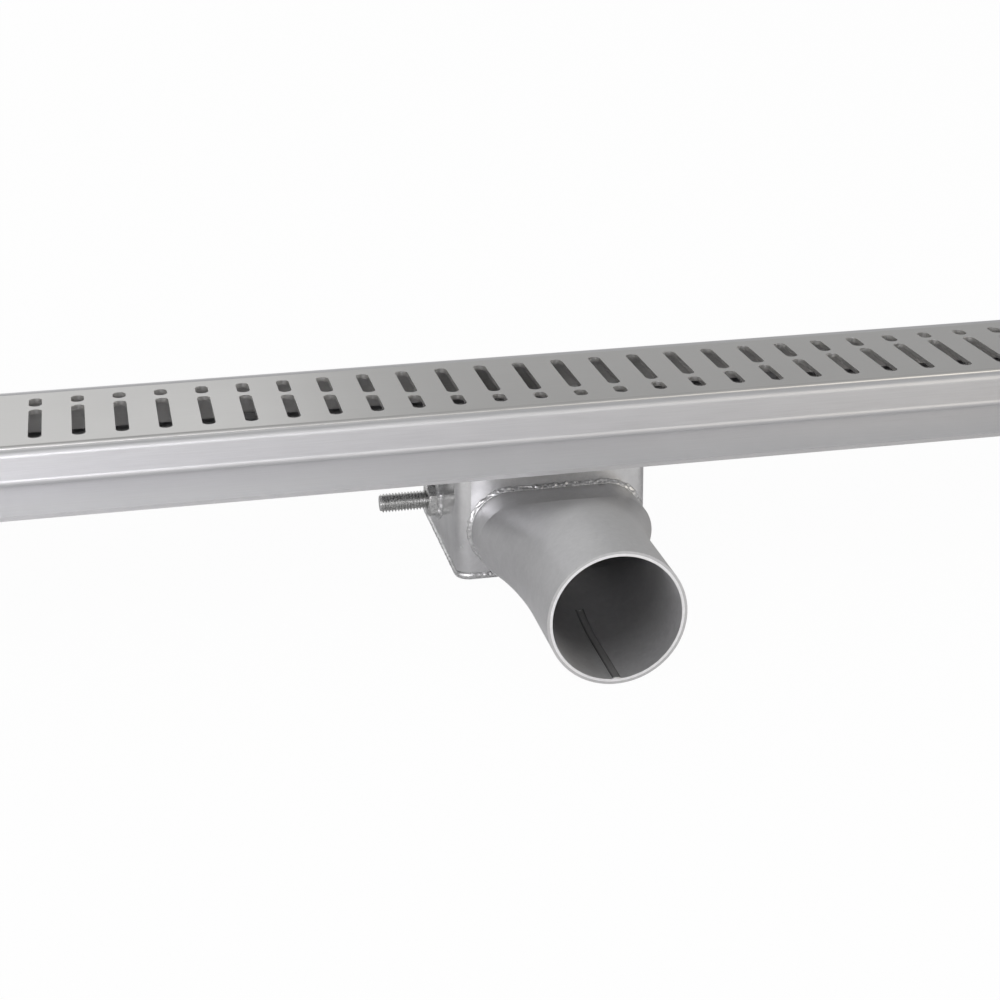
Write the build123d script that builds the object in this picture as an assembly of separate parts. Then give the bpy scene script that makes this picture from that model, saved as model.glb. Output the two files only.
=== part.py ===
from build123d import *
import os
from math import cos, pi, radians, sin, sqrt

# Linear channel drain: a folded stainless channel with a slotted cover, a box under it that
# holds the odour trap, and a side outlet that turns from oval to round.
# X runs along the channel, the outlet points along -Y, Z is up. The origin is the centre of
# the cover's top face, over the centre of the channel. Millimetres.

# Sheet and tube stock
sheet = 1.2
cover_sheet = 1.5
pipe_wall = 1.5

# Channel, folded from one sheet
channel_length = 700.0
channel_width = 51.0
channel_depth = 13.5
rim_height = 10.0
rim_drop = 0.3
rim_gap = 1.4
flange_width = 26.0
bend_radius = 1.5

# Cover
cover_side_gap = 0.5
cover_end_gap = 1.5
cover_edge_radius = 1.2
cover_shift = 0.5
corner_relief = 1.2
slot_pitch = 12.8
slot_width = 4.0
slot_field = 38.0
slot_web = 2.8
shortest_slot = 5.8
wave_rows = 21.6
wave_peak_row = 1.0
plain_end = 10.0

# Rubber buffers under the cover's legs
pads_per_side = 4
pad_spacing = 170.0
pad_length = 12.0
pad_thickness = 1.0
pad_upstand = 1.2

# Box under the channel
box_length = 60.0
box_width = 65.0
box_offset = -1.0
box_bottom = 52.2
box_corner_radius = 4.5

# Outlet
outlet_diameter = 40.0
outlet_drop = 36.1
outlet_shift = 1.3
oval_width = 54.0
oval_height = 24.5
oval_length = 12.0
taper_length = 34.0
taper_steps = 4
spigot_length = 26.0

# Earthing bolt
bolt_diameter = 6.0
bolt_length = 15.0
bolt_head_flats = 10.0
bolt_head_height = 4.0
bolt_drop = 37.2
bolt_point = 0.6
bolt_head_bevel = 0.5

# Odour trap
trap_hole_radius = 18.9
trap_seat_radius = 22.2
trap_clearance = 0.4
gasket_thickness = 1.0
trap_wall = 1.5
dip_tube_radius = 12.0
dip_tube_drop = 45.0
funnel_mouth_radius = 17.6
funnel_depth = 7.0
cup_radius = 20.0
cup_rim_drop = 31.0
cup_fin_count = 4
cup_fin_thickness = 1.5
cup_fin_clearance = 0.2
cup_fin_top = 6.0

# Hair strainer
strainer_wall = 1.0
strainer_drop = 1.5
strainer_height = 3.4
strainer_hole = 3.0
strainer_outer_ring_radius = 8.0
strainer_outer_ring_count = 10
strainer_inner_ring_radius = 4.4
strainer_inner_ring_count = 5
strainer_knob_radius = 2.0
strainer_knob_height = 3.0
strainer_clearance = 0.15

# Sizes that follow
inner_half = channel_width / 2
rim_width = 2 * sheet + rim_gap
rim_half = inner_half + rim_width
flange_half = rim_half + flange_width
inner_length = channel_length - 2 * rim_width
crest_z = -rim_drop
flange_top_z = crest_z - rim_height
flange_under_z = flange_top_z - sheet
floor_z = -channel_depth
floor_under_z = floor_z - sheet
fold_radius = (rim_gap + sheet) / 2
bend_mid_radius = bend_radius + sheet / 2
bend_outer_radius = bend_radius + sheet

cover_half = inner_half - cover_side_gap
cover_length = inner_length - 2 * cover_end_gap
cover_foot_z = floor_z + pad_thickness
leg_inner = cover_half - cover_sheet

box_bottom_z = -box_bottom
box_floor_z = box_bottom_z + sheet
box_front_y = box_offset - box_width / 2

outlet_radius = outlet_diameter / 2
outlet_axis_z = -outlet_drop
taper_start_y = box_front_y - oval_length
taper_end_y = taper_start_y - taper_length

seat_z = floor_z - gasket_thickness - trap_wall
seat_under_z = seat_z - sheet
dip_tube_outer = dip_tube_radius + trap_wall
funnel_slope = (funnel_mouth_radius - dip_tube_radius) / funnel_depth


def sheet_section(path):
    """Flat section of a folded sheet from its centre line."""
    return trace(path, line_width=sheet)


def rim_path(foot):
    """Centre line from the foot of the channel's wall, over the rim and out along the flange."""
    wall_x = inner_half + sheet / 2
    rim_x = wall_x + 2 * fold_radius
    fold_z = crest_z - sheet / 2 - fold_radius
    flange_z = flange_top_z - sheet / 2
    wall = Line(foot, (wall_x, fold_z))
    fold = JernArc(wall @ 1, wall % 1, fold_radius, -180)
    rim = Line(fold @ 1, (rim_x, flange_z + bend_mid_radius))
    bend = JernArc(rim @ 1, rim % 1, bend_mid_radius, 90)
    flange = Line(bend @ 1, (flange_half, flange_z))
    return [wall, fold, rim, bend, flange]


def mitre_area(reach):
    """Plan of the channel between its mitred corners, which run out at 45 degrees."""
    end = inner_length / 2
    near = [(end, -inner_half), (end + reach, -inner_half - reach)]
    far = [(-x, y) for x, y in reversed(near)]
    back = [(-x, -y) for x, y in near + far]
    return make_face(Polyline(*near, *far, *back, close=True))


def end_area(reach):
    """Plan of the right-hand end outside the mitred corners."""
    end = inner_length / 2
    corners = [
        (end, -inner_half),
        (end + reach, -inner_half - reach),
        (end + reach, inner_half + reach),
        (end, inner_half),
    ]
    return make_face(Polyline(*corners, close=True))


def tall_prism(area):
    """Prism through the whole height of the drain over a plan area."""
    return Pos(0, 0, -box_bottom) * extrude(area, amount=2 * box_bottom)


def trap_seat():
    """Pressed seat in the channel's floor, which lets the trap's flange lie flush."""
    depth = floor_z - seat_z
    dish = Pos(0, 0, seat_under_z) * Cylinder(
        trap_seat_radius + sheet, depth + sheet, align=(Align.CENTER, Align.CENTER, Align.MIN)
    )
    recess = Pos(0, 0, seat_z) * Cylinder(
        trap_seat_radius, channel_depth, align=(Align.CENTER, Align.CENTER, Align.MIN)
    )
    hole = Pos(0, 0, seat_z) * Cylinder(trap_hole_radius, channel_depth)
    return dish, recess, hole


def channel_trough():
    """Folded channel: floor, walls, hairpin rims and long flanges, with the trap's seat."""
    mid_z = floor_z - sheet / 2
    wall_x = inner_half + sheet / 2
    floor = Line((0, mid_z), (wall_x - bend_mid_radius, mid_z))
    corner = JernArc(floor @ 1, floor % 1, bend_mid_radius, 90)
    half = sheet_section(Curve() + [floor, corner] + rim_path(corner @ 1))
    section = half + mirror(half, about=Plane.YZ)
    body = extrude(Plane.YZ * section, amount=channel_length, both=True)
    body &= tall_prism(mitre_area(rim_width + flange_width))
    dish, recess, hole = trap_seat()
    return body + Pos(0, box_offset, 0) * dish - Pos(0, box_offset, 0) * (recess + hole)


def end_cap(side):
    """Folded end of the channel, mitred into the long sides; side is -1 or 1."""
    wall_x = inner_half + sheet / 2
    rim = sheet_section(Curve() + rim_path((wall_x, floor_z))[1:])
    rim = Pos(inner_length / 2 - inner_half, 0) * rim
    cap = extrude(Plane.XZ * rim, amount=flange_half, both=True)
    wall = Box(
        sheet,
        2 * (inner_half + sheet),
        crest_z - sheet / 2 - fold_radius - floor_under_z,
        align=(Align.MIN, Align.CENTER, Align.MIN),
    )
    wall = fillet(wall.edges().filter_by(Axis.X).group_by(Axis.Z)[0], bend_outer_radius)
    cap += Pos(inner_length / 2, 0, floor_under_z) * wall
    cap &= tall_prism(end_area(rim_width + flange_width))
    return cap if side > 0 else mirror(cap, about=Plane.YZ)


def web_centre(row):
    """Place across the cover of the web that parts a row's two slots."""
    swing = slot_field / 2 - slot_web / 2 - shortest_slot
    return -swing * cos(2 * pi * (row - wave_peak_row) / wave_rows)


def cover_slots():
    """All slots of the cover, two in each row, as flat shapes."""
    rows = int((cover_length / 2 - plain_end) / slot_pitch)
    slots = []
    for row in range(-rows, rows + 1):
        web = web_centre(row)
        for low, high in ((-slot_field / 2, web - slot_web / 2), (web + slot_web / 2, slot_field / 2)):
            slot = SlotOverall(high - low, slot_width, rotation=90)
            slots.append(Pos(row * slot_pitch, (low + high) / 2) * slot)
    return Sketch() + slots


def cover_plate():
    """Perforated plate of the cover, its top edges rolled over."""
    plate = Box(
        cover_length,
        2 * cover_half,
        cover_sheet,
        align=(Align.CENTER, Align.CENTER, Align.MAX),
    )
    plate = fillet(plate.faces().sort_by(Axis.Z)[-1].edges(), cover_edge_radius)
    plate -= extrude(cover_slots(), amount=-2 * cover_sheet)
    return Pos(cover_shift, 0, 0) * plate


def cover_leg(turn):
    """Strip welded upright under one edge of the cover; turn 0 is the front, 90 the right end."""
    along, reach = (cover_length, cover_half) if turn % 180 == 0 else (2 * cover_half, cover_length / 2)
    strip = Box(
        along - 2 * (cover_sheet + corner_relief),
        cover_sheet,
        -cover_sheet - cover_foot_z,
        align=(Align.CENTER, Align.MIN, Align.MIN),
    )
    return Pos(cover_shift, 0, 0) * Rot(0, 0, turn) * Pos(0, -reach, cover_foot_z) * strip


def trough_outline(out):
    """Section across the trough, drawn out from its inner face by the given amount."""
    half = inner_half + out
    outline = Pos(0, floor_z - out) * Rectangle(
        2 * half, 2 * channel_depth, align=(Align.CENTER, Align.MIN)
    )
    return fillet(outline.vertices().group_by(Axis.Y)[0], bend_radius + out)


def cover_pad(x, side):
    """L-shaped rubber buffer under a leg of the cover and up its inner face."""
    inner_y = leg_inner - pad_thickness
    foot = Pos(inner_y, floor_z) * Rectangle(
        cover_half - inner_y, pad_thickness, align=(Align.MIN, Align.MIN)
    )
    upstand = Pos(inner_y, floor_z) * Rectangle(
        pad_thickness, pad_thickness + pad_upstand, align=(Align.MIN, Align.MIN)
    )
    section = (foot + upstand) & trough_outline(0)
    pad = extrude(Plane.YZ * section, amount=pad_length / 2, both=True)
    pad = Pos(x + cover_shift, 0, 0) * pad
    return pad if side > 0 else mirror(pad, about=Plane.XZ)


def box_outline(inset=0.0):
    """Plan of the box, drawn in from its outer face by the inset."""
    outline = RectangleRounded(
        box_length - 2 * inset, box_width - 2 * inset, box_corner_radius - inset
    )
    return Pos(0, box_offset) * outline


def outlet_plane(y):
    """Plane across the outlet's axis: its X is the part's X and its Y is up."""
    return Plane(origin=(outlet_shift, y, outlet_axis_z), x_dir=(1, 0, 0), z_dir=(0, -1, 0))


def box_wall():
    """Wrapped wall of the box, cut round the channel and open at the outlet."""
    height = flange_under_z - box_floor_z
    wall = Pos(0, 0, box_floor_z) * extrude(box_outline() - box_outline(sheet), amount=height)
    wall -= extrude(Plane.YZ * trough_outline(sheet), amount=box_length, both=True)
    wall -= extrude(outlet_plane(box_offset) * outlet_section(pipe_wall, 0), amount=box_width)
    return wall


def box_floor():
    """Flat plate welded under the box's wall."""
    return Pos(0, 0, box_bottom_z) * extrude(box_outline(), amount=sheet)


def outlet_section(inset, roundness):
    """Section of the outlet in four edges, from the oval at roundness 0 to the circle at 1."""
    oval_radius = oval_height / 2 - inset
    oval_flat = (oval_width - oval_height) / 2
    radius = outlet_radius - inset
    diagonal = radius * sin(radians(45))
    across = oval_flat + (diagonal - oval_flat) * roundness
    up = oval_radius + (diagonal - oval_radius) * roundness
    side = oval_flat + oval_radius + (radius - oval_flat - oval_radius) * roundness
    crown = oval_radius + (radius - oval_radius) * roundness
    right = ThreePointArc((across, up), (side, 0), (across, -up))
    left = ThreePointArc((-across, -up), (-side, 0), (-across, up))
    if crown > up:
        top = ThreePointArc((-across, up), (0, crown), (across, up))
        bottom = ThreePointArc((across, -up), (0, -crown), (-across, -up))
    else:
        top = Line((-across, up), (across, up))
        bottom = Line((across, -up), (-across, -up))
    return make_face(Curve() + [top, right, bottom, left])


def outlet_form(inset, overrun):
    """Solid form of the outlet: straight oval, taper and round spigot, run past its two ends."""
    oval = outlet_section(inset, 0)
    circle = outlet_section(inset, 1)
    start_y = box_front_y + box_corner_radius
    oval_part = extrude(outlet_plane(start_y) * oval, amount=start_y - taper_start_y)
    sections = []
    for step in range(taper_steps + 1):
        share = step / taper_steps
        section = outlet_section(inset, 1 - (1 - share) ** 2)
        sections.append(outlet_plane(taper_start_y - share * taper_length) * section)
    spigot = extrude(outlet_plane(taper_end_y) * circle, amount=spigot_length + overrun)
    return oval_part + loft(sections) + spigot


def outlet_pipe():
    """Outlet tube, coped at its oval end to sit on the box's front and rounded corners."""
    pipe = outlet_form(0, 0) - outlet_form(pipe_wall, 1)
    block = Pos(0, 0, box_bottom_z) * extrude(box_outline(), amount=box_bottom)
    return pipe - block


def earth_bolt():
    """Hexagon bolt for the earthing lead, welded on by its head, a flat towards the outlet."""
    head_circle = bolt_head_flats / sqrt(3)
    head = extrude(RegularPolygon(head_circle, 6), amount=bolt_head_height)
    face_radius = bolt_head_flats / 2 - bolt_head_bevel
    head &= Cone(
        face_radius + bolt_head_height,
        face_radius,
        bolt_head_height,
        align=(Align.CENTER, Align.CENTER, Align.MIN),
    )
    shank = Pos(0, 0, bolt_head_height) * Cylinder(
        bolt_diameter / 2, bolt_length, align=(Align.CENTER, Align.CENTER, Align.MIN)
    )
    shank = chamfer(shank.edges().sort_by(Axis.Z)[-1], bolt_point)
    place = Plane(origin=(-box_length / 2, box_offset, -bolt_drop), x_dir=(0, 0, 1), z_dir=(-1, 0, 0))
    return place * (head + shank)


def turned(points):
    """Turn a closed outline of radius and height about the trap's axis."""
    outline = make_face(Polyline(*points, close=True))
    return Pos(0, box_offset, 0) * revolve(Plane.XZ * outline, axis=Axis.Z)


def trap_gasket():
    """Flat rubber ring between the trap's flange and its seat."""
    outer = trap_seat_radius - trap_clearance
    inner = trap_hole_radius
    top_z = seat_z + gasket_thickness
    return turned([(inner, seat_z), (outer, seat_z), (outer, top_z), (inner, top_z)])


def trap_dip_tube():
    """Flanged funnel and the tube that dips into the cup's water."""
    flange_z = seat_z + gasket_thickness
    outer = trap_seat_radius - trap_clearance
    throat_z = floor_z - funnel_depth
    neck = funnel_mouth_radius - funnel_slope * trap_wall + trap_wall
    return turned(
        [
            (funnel_mouth_radius, floor_z),
            (outer, floor_z),
            (outer, flange_z),
            (neck, flange_z),
            (dip_tube_outer, throat_z),
            (dip_tube_outer, -dip_tube_drop),
            (dip_tube_radius, -dip_tube_drop),
            (dip_tube_radius, throat_z),
        ]
    )


def trap_cup():
    """Cup that holds the water seal and stands on the box's floor, with fins round the tube."""
    inner = cup_radius - trap_wall
    cup_floor_z = box_floor_z + trap_wall
    cup = turned(
        [
            (0, box_floor_z),
            (cup_radius, box_floor_z),
            (cup_radius, -cup_rim_drop),
            (inner, -cup_rim_drop),
            (inner, cup_floor_z),
            (0, cup_floor_z),
        ]
    )
    fin_inner = dip_tube_outer + cup_fin_clearance
    fin_height = -dip_tube_drop + cup_fin_top - cup_floor_z
    fin = Box(
        cup_radius - trap_wall / 2 - fin_inner,
        cup_fin_thickness,
        fin_height,
        align=(Align.MIN, Align.CENTER, Align.MIN),
    )
    for turn in range(cup_fin_count):
        angle = 45 + turn * 360 / cup_fin_count
        cup += Pos(0, box_offset, cup_floor_z) * Rot(0, 0, angle) * Pos(fin_inner, 0, 0) * fin
    return cup


def hair_strainer():
    """Perforated basket that drops into the funnel, with a knob to lift it by."""
    top_z = floor_z - strainer_drop
    bottom_z = top_z - strainer_height
    top_radius = funnel_mouth_radius - funnel_slope * strainer_drop - strainer_clearance
    bottom_radius = top_radius - funnel_slope * strainer_height
    floor_top_z = bottom_z + strainer_wall
    inner_bottom = bottom_radius + funnel_slope * strainer_wall - strainer_wall
    knob_z = floor_top_z + strainer_knob_height
    basket = turned(
        [
            (0, bottom_z),
            (bottom_radius, bottom_z),
            (top_radius, top_z),
            (top_radius - strainer_wall, top_z),
            (inner_bottom, floor_top_z),
            (strainer_knob_radius, floor_top_z),
            (strainer_knob_radius, knob_z),
            (0, knob_z),
        ]
    )
    hole = Cylinder(strainer_hole / 2, strainer_height)
    centre = Pos(0, box_offset, bottom_z)
    rings = [
        (strainer_outer_ring_radius, strainer_outer_ring_count),
        (strainer_inner_ring_radius, strainer_inner_ring_count),
    ]
    for radius, count in rings:
        for turn in range(count):
            basket -= centre * Rot(0, 0, turn * 360 / count) * Pos(radius, 0, 0) * hole
    return basket


def pad_places():
    """Place along the channel and side of each buffer, numbered from the left front."""
    first = -(pads_per_side - 1) / 2
    xs = [(first + step) * pad_spacing for step in range(pads_per_side)]
    return [(x, side) for side in (-1, 1) for x in xs]


parts = {
    "channel_trough": channel_trough(),
    "end_cap_left": end_cap(-1),
    "end_cap_right": end_cap(1),
    "grate": cover_plate(),
    "sump_wall": box_wall(),
    "sump_floor": box_floor(),
    "outlet_pipe": outlet_pipe(),
    "earth_bolt": earth_bolt(),
    "trap_gasket": trap_gasket(),
    "trap_dip_tube": trap_dip_tube(),
    "trap_cup": trap_cup(),
    "hair_strainer": hair_strainer(),
}
for leg_name, leg_turn in (("front", 0), ("right", 90), ("back", 180), ("left", 270)):
    parts[f"grate_leg_{leg_name}"] = cover_leg(leg_turn)
for number, (pad_x, pad_side) in enumerate(pad_places(), start=1):
    parts[f"grate_pad_{number}"] = cover_pad(pad_x, pad_side)

os.makedirs("parts", exist_ok=True)
for name, solid in parts.items():
    export_step(solid, f"parts/{name}.step")
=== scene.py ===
import bmesh
import bpy
from math import cos, pi, radians, sin, sqrt
from mathutils import Matrix, Vector
from mathutils.noise import noise


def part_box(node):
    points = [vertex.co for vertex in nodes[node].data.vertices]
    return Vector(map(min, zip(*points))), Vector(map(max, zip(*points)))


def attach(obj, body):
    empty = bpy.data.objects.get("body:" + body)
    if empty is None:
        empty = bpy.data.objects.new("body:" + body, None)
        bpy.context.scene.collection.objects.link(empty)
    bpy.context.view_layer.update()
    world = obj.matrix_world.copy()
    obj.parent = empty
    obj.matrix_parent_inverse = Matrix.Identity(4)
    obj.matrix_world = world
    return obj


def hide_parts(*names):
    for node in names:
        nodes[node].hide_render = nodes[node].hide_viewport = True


# Dresses the channel drain: satin stainless steel, welds, the bolt's thread and the seam in
# the outlet. Metres, in the part's own frame. X runs along the channel, the outlet points
# along -Y, Z is up.

MM = 0.001

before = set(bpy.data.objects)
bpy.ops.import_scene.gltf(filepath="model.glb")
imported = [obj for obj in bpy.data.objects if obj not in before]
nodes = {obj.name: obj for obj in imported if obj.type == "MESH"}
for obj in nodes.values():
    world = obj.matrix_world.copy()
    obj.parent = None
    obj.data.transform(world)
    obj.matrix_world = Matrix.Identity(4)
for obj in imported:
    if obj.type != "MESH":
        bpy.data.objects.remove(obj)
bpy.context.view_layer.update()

# Places that the CAD nodes give, and sizes that their boxes don't give
channel_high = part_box("channel_trough")[1]
wall_low, wall_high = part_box("sump_wall")
plate_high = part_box("sump_floor")[1]
pipe_low, pipe_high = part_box("outlet_pipe")
bolt_low, bolt_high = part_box("earth_bolt")

box_centre_x = (wall_low.x + wall_high.x) / 2
box_centre_y = (wall_low.y + wall_high.y) / 2
box_half_x = (wall_high.x - wall_low.x) / 2
box_half_y = (wall_high.y - wall_low.y) / 2
box_corner = 4.5 * MM

# How far in from the channel's outer edges its steel counts as sheared
sheared_depth = 0.1 * MM

# Outlet, oval at the box and round at its mouth
pipe_wall = 1.5 * MM
pipe_centre_x = (pipe_low.x + pipe_high.x) / 2
pipe_centre_z = (pipe_low.z + pipe_high.z) / 2
pipe_radius = (pipe_high.z - pipe_low.z) / 2
oval_half_width = (pipe_high.x - pipe_low.x) / 2
oval_half_height = 12.25 * MM
mouth_y = pipe_low.y
spigot_length = 26 * MM
taper_length = 34 * MM

# Earthing bolt
bolt_centre_y = (bolt_low.y + bolt_high.y) / 2
bolt_centre_z = (bolt_low.z + bolt_high.z) / 2
bolt_head_height = 4 * MM
bolt_head_flats = 10 * MM
bolt_bevel = 0.5 * MM
bolt_end_radius = 2.4 * MM
thread_radius = 3 * MM
thread_root_radius = 2.45 * MM
thread_pitch = 1 * MM

# Camera, fitted to the photograph
eye = Vector((-130.56, -582.07, 191.68)) * MM
gaze = Vector((0.189702, 0.912216, -0.363145))
roll = radians(-0.708)
lens_mm = 70.85
sensor_mm = 36.0


def new_object(name, mesh):
    """Link a smooth-shaded mesh as a piece that rides on the drain."""
    piece = bpy.data.objects.new(name, mesh)
    bpy.context.scene.collection.objects.link(piece)
    for face in mesh.polygons:
        face.use_smooth = True
    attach(piece, "root")
    return piece


# Materials

# Range that most of a noise texture's values lie in, and a wider one for the grain's colour
noise_low, noise_high = 0.3, 0.7
grain_low, grain_high = 0.25, 0.75


def node_maker(tree):
    """Helper that adds nodes to a tree and sets their sockets or properties by name."""

    def add(kind, **values):
        node = tree.nodes.new(kind)
        for key, value in values.items():
            if key in node.inputs:
                node.inputs[key].default_value = value
            else:
                setattr(node, key, value)
        return node

    return add


def blank_material(name):
    """New material with only its Principled shader, and helpers that add and link nodes."""
    material = bpy.data.materials.new(name)
    material.use_nodes = True
    tree = material.node_tree
    return material, tree.nodes["Principled BSDF"], node_maker(tree), tree.links.new


def ramp(add, link, source, low, high, dark, light):
    """Map a grey value from low..high to dark..light."""
    node = add("ShaderNodeMapRange")
    node.inputs["From Min"].default_value = low
    node.inputs["From Max"].default_value = high
    node.inputs["To Min"].default_value = dark
    node.inputs["To Max"].default_value = light
    link(source, node.inputs["Value"])
    return node.outputs["Result"]


def maths(add, link, operation, first, second=0.0):
    """Output of a maths node on two terms, each a socket or a number."""
    node = add("ShaderNodeMath", operation=operation)
    for index, term in enumerate((first, second)):
        if isinstance(term, (int, float)):
            node.inputs[index].default_value = term
        else:
            link(term, node.inputs[index])
    return node.outputs[0]


def shaded(add, link, value, mask, shade):
    """Value times shade where the mask is 1, and as it is where the mask is 0."""
    return maths(add, link, "MULTIPLY", value, ramp(add, link, mask, 0.0, 1.0, 1.0, shade))


def steel(
    name,
    colour,
    tint,
    rough,
    grain,
    grain_depth=0.12,
    cloud=9.0,
    speckle=0.0,
    bore_painted_light=1.0,
    painted_glint=1.0,
    seam_x=None,
    sheared_y=None,
):
    """Stainless steel with a stretched grain, a cloudy colour and speckles.

    The bore factor lightens the inside of the outlet near its mouth, fading with depth: painted light
    where the lamps shine in. The cut factor lightens the upright faces: painted glints.
    The colour darkens along both edges of a seam whose middle is at seam_x, and further out than
    sheared_y.
    """
    grain_gain = 0.05
    grain_rough = 0.04
    cloud_rough = 0.03
    fine_scale = 420.0
    grain_height = 0.05 * MM
    sheared_shade = 0.8
    seam_shade = 0.45
    seam_bright, seam_dark = 0.6 * MM, 1.1 * MM
    upright_limit = 0.5
    material, shader, add, link = blank_material(name)
    place = add("ShaderNodeTexCoord").outputs["Object"]

    stretch = add("ShaderNodeMapping")
    stretch.inputs["Scale"].default_value = grain
    link(place, stretch.inputs["Vector"])
    lines = add("ShaderNodeTexNoise", Scale=1.0, Detail=3.0, Roughness=0.6)
    link(stretch.outputs["Vector"], lines.inputs["Vector"])
    clouds = add("ShaderNodeTexNoise", Scale=cloud, Detail=4.0, Roughness=0.55)
    link(place, clouds.inputs["Vector"])
    fine = add("ShaderNodeTexNoise", Scale=fine_scale, Detail=2.0, Roughness=0.5)
    link(place, fine.inputs["Vector"])

    mix = add("ShaderNodeMix", data_type="RGBA")
    mix.inputs[6].default_value = (*colour, 1)
    mix.inputs[7].default_value = (*tint, 1)
    link(ramp(add, link, clouds.outputs["Fac"], noise_low, noise_high, 0.0, 1.0), mix.inputs[0])
    value = maths(
        add,
        link,
        "MULTIPLY",
        ramp(add, link, lines.outputs["Fac"], grain_low, grain_high, 1 - grain_gain, 1 + grain_gain),
        ramp(add, link, fine.outputs["Fac"], noise_low, noise_high, 1 - speckle, 1 + speckle),
    )
    parts = add("ShaderNodeSeparateXYZ")
    link(place, parts.inputs[0])
    # Painted light: the bore is lightened near its mouth, and less with depth, where the lamps shine in.
    if bore_painted_light != 1.0:
        middle = add("ShaderNodeCombineXYZ", X=pipe_centre_x, Z=pipe_centre_z)
        link(parts.outputs["Y"], middle.inputs["Y"])
        from_axis = add("ShaderNodeVectorMath", operation="DISTANCE")
        link(place, from_axis.inputs[0])
        link(middle.outputs[0], from_axis.inputs[1])
        within = maths(add, link, "LESS_THAN", from_axis.outputs["Value"], pipe_radius - pipe_wall / 2)
        fade = ramp(add, link, parts.outputs["Y"], mouth_y, mouth_y + spigot_length, 1.0, 0.0)
        inside = maths(add, link, "MULTIPLY", within, fade)
        value = shaded(add, link, value, inside, bore_painted_light)
    if sheared_y is not None:
        off_middle = maths(add, link, "ABSOLUTE", parts.outputs["Y"])
        sheared = maths(add, link, "GREATER_THAN", off_middle, sheared_y)
        value = shaded(add, link, value, sheared, sheared_shade)
    # Painted glints: upright faces (slot walls, edges and legs of the grate) are lightened.
    if painted_glint != 1.0:
        facing = add("ShaderNodeSeparateXYZ")
        link(add("ShaderNodeTexCoord").outputs["Normal"], facing.inputs[0])
        tilt = maths(add, link, "ABSOLUTE", facing.outputs["Z"])
        upright = maths(add, link, "LESS_THAN", tilt, upright_limit)
        value = shaded(add, link, value, upright, painted_glint)
    # Darker towards both toes of the seam: heat tint, and partly painted shade of the undercuts beside the
    # bead.
    if seam_x is not None:
        beside = maths(add, link, "SUBTRACT", parts.outputs["X"], seam_x)
        off_seam = maths(add, link, "ABSOLUTE", beside)
        band = ramp(add, link, off_seam, seam_bright, seam_dark, 1.0, seam_shade)
        value = maths(add, link, "MULTIPLY", value, band)
    shade = add("ShaderNodeHueSaturation")
    link(mix.outputs[2], shade.inputs["Color"])
    link(value, shade.inputs["Value"])
    link(shade.outputs["Color"], shader.inputs["Base Color"])

    spread = maths(
        add,
        link,
        "ADD",
        ramp(
            add, link, lines.outputs["Fac"], noise_low, noise_high, rough - grain_rough, rough + grain_rough
        ),
        ramp(add, link, clouds.outputs["Fac"], noise_low, noise_high, -cloud_rough, cloud_rough),
    )
    link(spread, shader.inputs["Roughness"])

    bump = add("ShaderNodeBump", Strength=grain_depth, Distance=grain_height)
    link(lines.outputs["Fac"], bump.inputs["Height"])
    link(bump.outputs["Normal"], shader.inputs["Normal"])
    shader.inputs["Metallic"].default_value = 1.0
    return material


def soft_material(name, colour, tint, rough):
    """Moulded plastic or rubber with a fine mottled skin."""
    skin_scale = 900.0
    skin_rough = 0.05
    skin_height = 0.1 * MM
    material, shader, add, link = blank_material(name)
    place = add("ShaderNodeTexCoord").outputs["Object"]
    skin = add("ShaderNodeTexNoise", Scale=skin_scale, Detail=3.0)
    link(place, skin.inputs["Vector"])
    mix = add("ShaderNodeMix", data_type="RGBA")
    mix.inputs[6].default_value = (*colour, 1)
    mix.inputs[7].default_value = (*tint, 1)
    link(skin.outputs["Fac"], mix.inputs[0])
    link(mix.outputs[2], shader.inputs["Base Color"])
    spread = ramp(
        add, link, skin.outputs["Fac"], noise_low, noise_high, rough - skin_rough, rough + skin_rough
    )
    link(spread, shader.inputs["Roughness"])
    bump = add("ShaderNodeBump", Strength=0.2, Distance=skin_height)
    link(skin.outputs["Fac"], bump.inputs["Height"])
    link(bump.outputs["Normal"], shader.inputs["Normal"])
    return material


# Noise scales of the grain on each axis, per metre
along_x = (60, 2600, 2600)
along_y = (2600, 60, 2600)
even = (900, 900, 900)

channel_steel = steel(
    "channel_steel",
    colour=(0.69, 0.69, 0.702),
    tint=(0.655, 0.655, 0.667),
    rough=0.48,
    grain=along_x,
    sheared_y=channel_high.y - sheared_depth,
)
end_steel = steel(
    "end_steel", colour=(0.69, 0.69, 0.702), tint=(0.655, 0.655, 0.667), rough=0.48, grain=along_y
)
grate_steel = steel(
    # Its upright faces are lightened: painted glints.
    "grate_steel", colour=(0.615, 0.61, 0.6), tint=(0.575, 0.57, 0.56), rough=0.34, grain=along_x, painted_glint=1.5
)
box_steel = steel(
    "box_steel",
    colour=(0.8, 0.8, 0.8),
    tint=(0.67, 0.67, 0.68),
    rough=0.22,
    grain=even,
    cloud=60.0,
    speckle=0.03,
)
pipe_steel = steel(
    "pipe_steel",
    colour=(0.62, 0.62, 0.625),
    tint=(0.57, 0.57, 0.575),
    rough=0.55,
    grain=even,
    cloud=35.0,
    speckle=0.02,
    # Painted light inside the outlet near its mouth
    bore_painted_light=1.5,
)
bolt_steel = steel(
    "bolt_steel", colour=(0.72, 0.72, 0.71), tint=(0.55, 0.55, 0.54), rough=0.28, grain=even, cloud=200.0
)
weld_steel = steel(
    "weld_steel",
    colour=(0.85, 0.85, 0.85),
    tint=(0.6, 0.6, 0.6),
    rough=0.3,
    grain=even,
    grain_depth=0.4,
    cloud=700.0,
    speckle=0.15,
)
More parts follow.
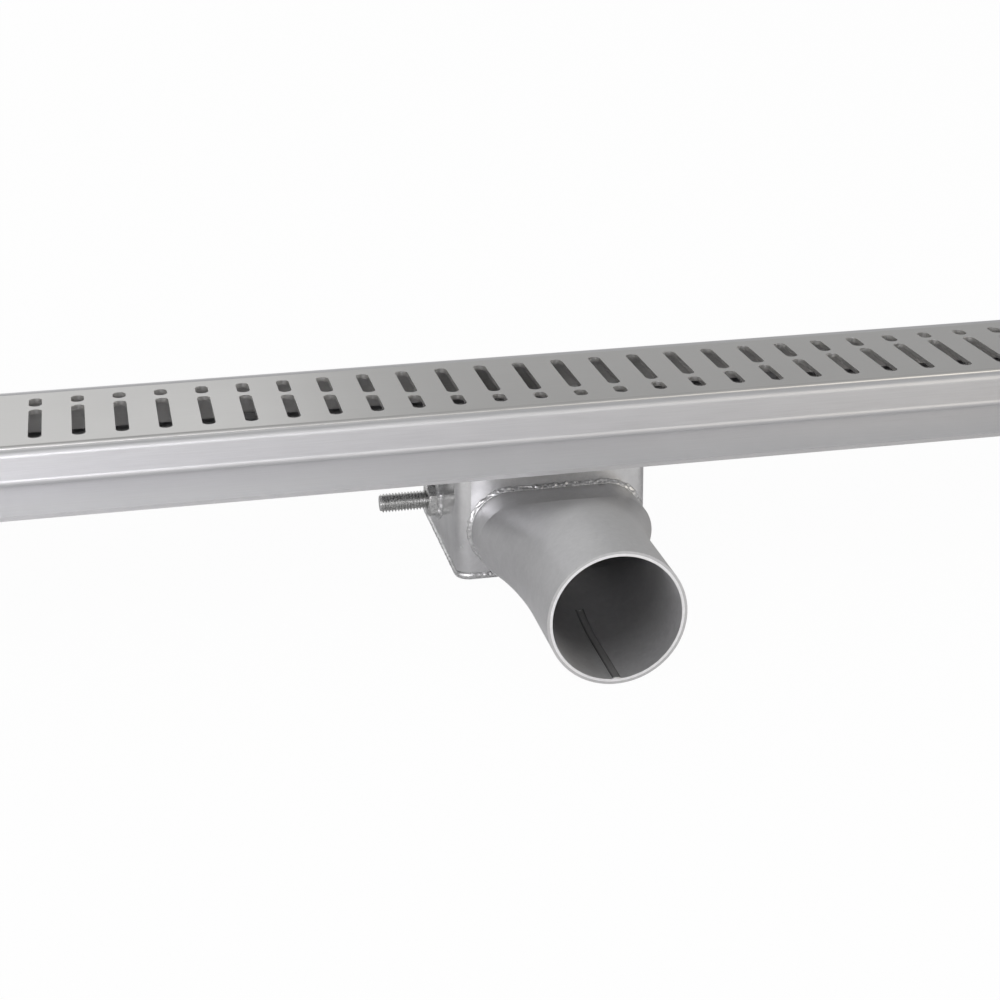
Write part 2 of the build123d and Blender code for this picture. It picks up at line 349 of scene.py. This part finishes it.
seam_steel = steel(
    "seam_steel",
    colour=(0.72, 0.72, 0.72),
    tint=(0.62, 0.62, 0.62),
    rough=0.5,
    grain=even,
    seam_x=pipe_centre_x,
)
strainer_steel = steel(
    "strainer_steel", colour=(0.6, 0.6, 0.6), tint=(0.55, 0.55, 0.55), rough=0.3, grain=even
)
rubber = soft_material("rubber", colour=(0.05, 0.05, 0.05), tint=(0.08, 0.08, 0.08), rough=0.7)
silicone = soft_material("silicone", colour=(0.34, 0.34, 0.35), tint=(0.4, 0.4, 0.41), rough=0.5)
plastic = soft_material("trap_plastic", colour=(0.07, 0.07, 0.075), tint=(0.1, 0.1, 0.105), rough=0.45)

# Material of each CAD node. The grate's pads aren't listed and get silicone.
finishes = {
    "channel_trough": channel_steel,
    "end_cap_left": end_steel,
    "end_cap_right": end_steel,
    "grate": grate_steel,
    "grate_leg_front": grate_steel,
    "grate_leg_right": grate_steel,
    "grate_leg_back": grate_steel,
    "grate_leg_left": grate_steel,
    "sump_wall": box_steel,
    "sump_floor": box_steel,
    "outlet_pipe": pipe_steel,
    "earth_bolt": bolt_steel,
    "trap_gasket": rubber,
    "trap_dip_tube": plastic,
    "trap_cup": plastic,
    "hair_strainer": strainer_steel,
}
for node_name, node in nodes.items():
    node.data.materials.clear()
    node.data.materials.append(finishes.get(node_name, silicone))


# Welds


def finish_mesh(name, work, material):
    """Turn a bmesh into a piece with its material."""
    bmesh.ops.recalc_face_normals(work, faces=work.faces)
    mesh = bpy.data.meshes.new(name)
    work.to_mesh(mesh)
    work.free()
    mesh.materials.append(material)
    return new_object(name, mesh)


def skin_rings(work, rings, closed):
    """Faces between neighbouring rings of points, and over both ends of an open row."""
    pairs = list(zip(rings, rings[1:]))
    if closed:
        pairs.append((rings[-1], rings[0]))
    else:
        work.faces.new(rings[0])
        work.faces.new(reversed(rings[-1]))
    for first, second in pairs:
        for here in range(len(first)):
            after = (here + 1) % len(first)
            work.faces.new((first[here], second[here], second[after], first[after]))


def weld(name, sections, lump):
    """Closed weld bead from sections of four points: toe, crown, other toe and sunken back."""
    divisions = 7
    lump_length = 0.7 * MM
    fine_share = 0.5
    fine_scale = 2.3
    work = bmesh.new()
    rings = []
    for toe, crown, other_toe, back in sections:
        out = (crown - back).normalized()
        ring = []
        for division in range(divisions + 1):
            share = division / divisions
            point = toe * (1 - share) ** 2 + crown * 2 * share * (1 - share) + other_toe * share**2
            inside = sin(pi * share)
            rough = noise(point / lump_length) + fine_share * noise(point / lump_length * fine_scale)
            ring.append(work.verts.new(point + out * lump * inside * rough))
        ring.append(work.verts.new(back))
        rings.append(ring)
    skin_rings(work, rings, closed=True)
    finish_mesh(name, work, weld_steel)


def box_front(x):
    """Y of the box's front face at x, round its upright corners."""
    past = max(0.0, abs(x - box_centre_x) - (box_half_x - box_corner))
    return wall_low.y + box_corner - sqrt(max(0.0, box_corner**2 - past**2))


def oval_weld():
    """Weld round the oval where the outlet meets the box."""
    wall_leg = 1.2 * MM
    tube_leg = 1.0 * MM
    sunk = 0.5 * MM
    lump = 0.28 * MM
    step_length = 0.25 * MM
    waver = 0.35
    wave_length = 1.6 * MM
    fullness = 0.45
    flat = oval_half_width - oval_half_height
    arc = pi * oval_half_height
    lap = 2 * arc + 4 * flat
    steps = int(lap / step_length)
    sections = []
    for step in range(steps):
        run = lap * step / steps
        if run < 2 * flat:
            x, z, away = -flat + run, oval_half_height, Vector((0, 0, 1))
        elif run < 2 * flat + arc:
            turn = (run - 2 * flat) / oval_half_height
            away = Vector((sin(turn), 0, cos(turn)))
            x, z = flat + oval_half_height * away.x, oval_half_height * away.z
        elif run < 4 * flat + arc:
            x, z, away = flat - (run - 2 * flat - arc), -oval_half_height, Vector((0, 0, -1))
        else:
            turn = (run - 4 * flat - arc) / oval_half_height + pi
            away = Vector((sin(turn), 0, cos(turn)))
            x, z = -flat + oval_half_height * away.x, oval_half_height * away.z
        root = Vector((x + pipe_centre_x, 0, z + pipe_centre_z))
        reach = wall_leg * (1 + waver * noise(root / wave_length))
        toe = root + away * reach
        toe.y = box_front(toe.x)
        root.y = box_front(root.x)
        forward = Vector((0, -tube_leg, 0))
        crown = root + away * fullness * reach + forward * fullness
        sections.append((toe, crown, root + forward, root - away * sunk + Vector((0, sunk, 0))))
    weld("weld_outlet", sections, lump)


def box_lap(z):
    """Points round the box's plan at height z, with the direction out of the box at each."""
    corner_parts = 8
    step_length = 0.3 * MM
    straight_x = box_half_x - box_corner
    straight_y = box_half_y - box_corner
    corners = [(1, -1, -pi / 2), (1, 1, 0.0), (-1, 1, pi / 2), (-1, -1, pi)]
    outline = []
    for side_x, side_y, start in corners:
        for part in range(corner_parts + 1):
            turn = start + pi / 2 * part / corner_parts
            away = Vector((cos(turn), sin(turn), 0))
            centre = Vector((box_centre_x + side_x * straight_x, box_centre_y + side_y * straight_y, z))
            outline.append((centre + box_corner * away, away))
    lap = []
    for (here, away), (there, next_away) in zip(outline, outline[1:] + outline[:1]):
        count = max(1, int((there - here).length / step_length))
        for part in range(count):
            share = part / count
            lap.append((here.lerp(there, share), away.lerp(next_away, share).normalized()))
    return lap


def floor_weld():
    """Weld between the box's wall and its floor plate."""
    half_height = 1.0 * MM
    bulge = 1.1 * MM
    sunk = 0.4 * MM
    lump = 0.15 * MM
    waver = 0.25
    wave_length = 2 * MM
    up = Vector((0, 0, 1))
    sections = []
    for point, away in box_lap(plate_high.z):
        reach = half_height * (1 + waver * noise(point / wave_length))
        sections.append((point + up * reach, point + away * bulge, point - up * reach, point - away * sunk))
    weld("weld_floor", sections, lump)


def bolt_head_weld():
    """Weld round the bolt's head on the box's side."""
    wall_leg = 1.4 * MM
    head_leg = 1.3 * MM
    sunk = 0.5 * MM
    back_lean = 0.2
    lump = 0.4 * MM
    waver = 0.4
    wave_length = 2 * MM
    fullness = 0.6
    steps = 120
    sections = []
    for step in range(steps):
        turn = 2 * pi * step / steps
        away = Vector((0, sin(turn), cos(turn)))
        root = Vector((wall_low.x, bolt_centre_y, bolt_centre_z)) + away * hexagon(turn)
        reach = wall_leg * (1 + waver * noise(root / wave_length))
        out = Vector((-head_leg, 0, 0))
        crown = root + away * fullness * reach + out * fullness
        back = root - away * sunk - out * back_lean
        sections.append((root + away * reach, crown, root + out, back))
    weld("weld_bolt", sections, lump)


def bore_bottom(y):
    """Distance from the outlet's centre line down to the bottom of its bore at y."""
    share = min(1.0, max(0.0, (mouth_y + spigot_length + taper_length - y) / taper_length))
    roundness = 1 - (1 - share) ** 2
    return oval_half_height + (pipe_radius - oval_half_height) * roundness - pipe_wall


def seam_strip():
    """Low weld seam along the bottom of the outlet's bore, from the mouth into the taper."""
    width = 2.6 * MM
    height = 0.25 * MM
    shoulder = height * 0.7
    sunk = 0.1 * MM
    ripple = 0.02 * MM
    mouth_gap = 0.3 * MM
    back_end = 17 * MM
    fade_rate = 6
    last_share = 0.02
    steps = 90
    # Shares of the width, and the height over the bore at each
    across = [
        (-0.5, -sunk),
        (-0.42, shoulder),
        (-0.2, height),
        (0.2, height),
        (0.42, shoulder),
        (0.5, -sunk),
    ]
    length = spigot_length + back_end
    work = bmesh.new()
    rings = []
    for step in range(steps + 1):
        y = mouth_y + mouth_gap + length * step / steps
        radius = bore_bottom(y)
        fade = min(1.0, fade_rate * (1 - step / steps) + last_share)
        ring = []
        for share, lift in across:
            x = share * width
            rise = lift * fade + ripple * noise(Vector((x, y, 0)) / MM)
            z = pipe_centre_z - sqrt(radius**2 - x**2) + rise
            ring.append(work.verts.new((pipe_centre_x + x, y, z)))
        rings.append(ring)
    skin_rings(work, rings, closed=False)
    finish_mesh("weld_seam", work, seam_steel)


# Bolt with its thread


def hexagon(turn):
    """Distance from a bolt head's centre to its edge, with a corner at turn 0."""
    return bolt_head_flats / 2 / cos(turn % (pi / 3) - pi / 6)


def threaded_bolt():
    """Hexagon bolt, M6 thread cut as a true helix, built along +Z and then laid along -X."""
    face_radius = bolt_head_flats / 2 - bolt_bevel
    length = bolt_high.x - bolt_low.x
    sides = 48
    head_sides = 60
    levels = 12
    # Under 1, so that the head's rings crowd towards its bevel
    crowding = 0.6
    # Radius lost per length at the head's bevel and at the thread's end
    bevel_slope = 1.7
    end_slope = 0.9
    merge_distance = 0.001 * MM
    crease = radians(40)
    work = bmesh.new()

    rings = []
    for level in range(levels + 1):
        z = bolt_head_height * (level / levels) ** crowding
        ring = []
        for side in range(head_sides):
            turn = 2 * pi * side / head_sides
            radius = min(hexagon(turn), face_radius + (bolt_head_height - z) * bevel_slope)
            ring.append(work.verts.new((radius * cos(turn), radius * sin(turn), z)))
        rings.append(ring)
    skin_rings(work, rings, closed=False)

    # Shares of the pitch, and the thread's radius at each
    profile = [
        (0.0, thread_root_radius),
        (0.12, thread_root_radius),
        (0.44, thread_radius),
        (0.56, thread_radius),
        (0.88, thread_root_radius),
    ]
    turns = int((length - bolt_head_height) / thread_pitch) + 2
    rows = []
    for lap in range(turns):
        for share, radius in profile:
            row = []
            for side in range(sides + 1):
                z = bolt_head_height + (lap - 1 + share + side / sides) * thread_pitch
                z = min(max(z, bolt_head_height), length)
                size = min(radius, bolt_end_radius + (length - z) * end_slope)
                turn = 2 * pi * side / sides
                row.append(work.verts.new((size * cos(turn), size * sin(turn), z)))
            rows.append(row)
    for low, high in zip(rows, rows[1:]):
        for side in range(sides):
            work.faces.new((low[side], low[side + 1], high[side + 1], high[side]))
    bmesh.ops.remove_doubles(work, verts=work.verts, dist=merge_distance)
    bmesh.ops.dissolve_degenerate(work, edges=work.edges, dist=merge_distance)
    rims = [edge for edge in work.edges if edge.is_boundary]
    bmesh.ops.holes_fill(work, edges=rims, sides=0)
    place = Matrix.Translation((bolt_high.x, bolt_centre_y, bolt_centre_z))
    turn_over = Matrix(((0, 0, -1, 0), (0, 1, 0, 0), (1, 0, 0, 0), (0, 0, 0, 1)))
    bmesh.ops.transform(work, matrix=place @ turn_over, verts=work.verts)
    piece = finish_mesh("bolt_threaded", work, bolt_steel)
    piece.data.set_sharp_from_angle(angle=crease)
    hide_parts("earth_bolt")


oval_weld()
floor_weld()
bolt_head_weld()
seam_strip()
threaded_bolt()


# Floor, light and camera


def white_floor(seen, mirrored):
    """Pale floor; the shares of plain white that the camera sees and that the steel mirrors."""
    reach = 6.0
    gap = 0.2 * MM
    shade = 0.88
    mesh = bpy.data.meshes.new("floor")
    z = pipe_low.z - gap
    corners = [(-reach, -reach, z), (reach, -reach, z), (reach, reach, z), (-reach, reach, z)]
    mesh.from_pydata(corners, [], [(0, 1, 2, 3)])
    plane = bpy.data.objects.new("floor", mesh)
    bpy.context.scene.collection.objects.link(plane)
    material = bpy.data.materials.new("floor_white")
    material.use_nodes = True
    tree = material.node_tree
    tree.nodes.clear()
    add, link = node_maker(tree), tree.links.new
    out = add("ShaderNodeOutputMaterial")
    diffuse = add("ShaderNodeBsdfDiffuse", Color=(shade, shade, shade, 1))
    glow = add("ShaderNodeEmission")
    rays = add("ShaderNodeLightPath")
    bent = maths(add, link, "MAXIMUM", rays.outputs["Is Glossy Ray"], rays.outputs["Is Transmission Ray"])
    camera_share = maths(add, link, "MULTIPLY", rays.outputs["Is Camera Ray"], seen)
    share = maths(add, link, "MAXIMUM", camera_share, maths(add, link, "MULTIPLY", bent, mirrored))
    blend = add("ShaderNodeMixShader")
    link(share, blend.inputs["Fac"])
    link(diffuse.outputs[0], blend.inputs[1])
    link(glow.outputs[0], blend.inputs[2])
    link(blend.outputs[0], out.inputs["Surface"])
    mesh.materials.append(material)


def studio_world(plain, mirrored):
    """Pale backdrop: full strength to the camera, others for light and for mirrored rays."""
    shade = 0.8
    world = bpy.data.worlds.new("studio")
    bpy.context.scene.world = world
    world.use_nodes = True
    tree = world.node_tree
    tree.nodes.clear()
    add, link = node_maker(tree), tree.links.new
    out = add("ShaderNodeOutputWorld")
    background = add("ShaderNodeBackground", Color=(shade, shade, shade, 1))
    rays = add("ShaderNodeLightPath")
    bent = maths(add, link, "MAXIMUM", rays.outputs["Is Glossy Ray"], rays.outputs["Is Transmission Ray"])
    gain = maths(add, link, "MULTIPLY_ADD", bent, mirrored - plain)
    gain.node.inputs[2].default_value = plain
    strength = maths(add, link, "MAXIMUM", gain, rays.outputs["Is Camera Ray"])
    link(strength, background.inputs["Strength"])
    link(background.outputs[0], out.inputs["Surface"])


def soft_box(name, place, size, power, colour):
    """Square area lamp aimed at the drain."""
    lamp = bpy.data.lights.new(name, "AREA")
    lamp.shape = "SQUARE"
    lamp.size = size
    lamp.energy = power
    lamp.color = colour
    holder = bpy.data.objects.new(name, lamp)
    bpy.context.scene.collection.objects.link(holder)
    holder.location = place
    holder.rotation_euler = (-Vector(place)).to_track_quat("-Z", "Y").to_euler()


def photo_camera():
    """Camera at the photograph's viewing angle."""
    data = bpy.data.cameras.new("camera")
    data.lens = lens_mm
    data.sensor_width = sensor_mm
    data.sensor_fit = "HORIZONTAL"
    camera = bpy.data.objects.new("camera", data)
    bpy.context.scene.collection.objects.link(camera)
    turn = gaze.to_track_quat("-Z", "Y").to_matrix().to_4x4() @ Matrix.Rotation(roll, 4, "Z")
    camera.matrix_world = Matrix.Translation(eye) @ turn
    bpy.context.scene.camera = camera


white_floor(seen=0.97, mirrored=0.04)
studio_world(plain=0.62, mirrored=0.62)
soft_box("key_high", place=(-0.8, -1.0, 1.1), size=1.6, power=4, colour=(0.985, 0.98, 1.0))
soft_box("key_low", place=(-1.35, -1.05, 0.3), size=2.0, power=9, colour=(0.98, 0.965, 1.0))
soft_box("front_low", place=(-0.5, -1.2, 0.08), size=0.7, power=6, colour=(0.975, 0.96, 1.0))
soft_box("fill_right", place=(1.4, -1.2, 0.5), size=1.7, power=9, colour=(1.0, 0.93, 0.8))
soft_box("back", place=(-0.6, 1.35, 0.65), size=1.6, power=3.4, colour=(1.0, 1.0, 1.0))
photo_camera()
bpy.context.scene.view_settings.view_transform = "Standard"
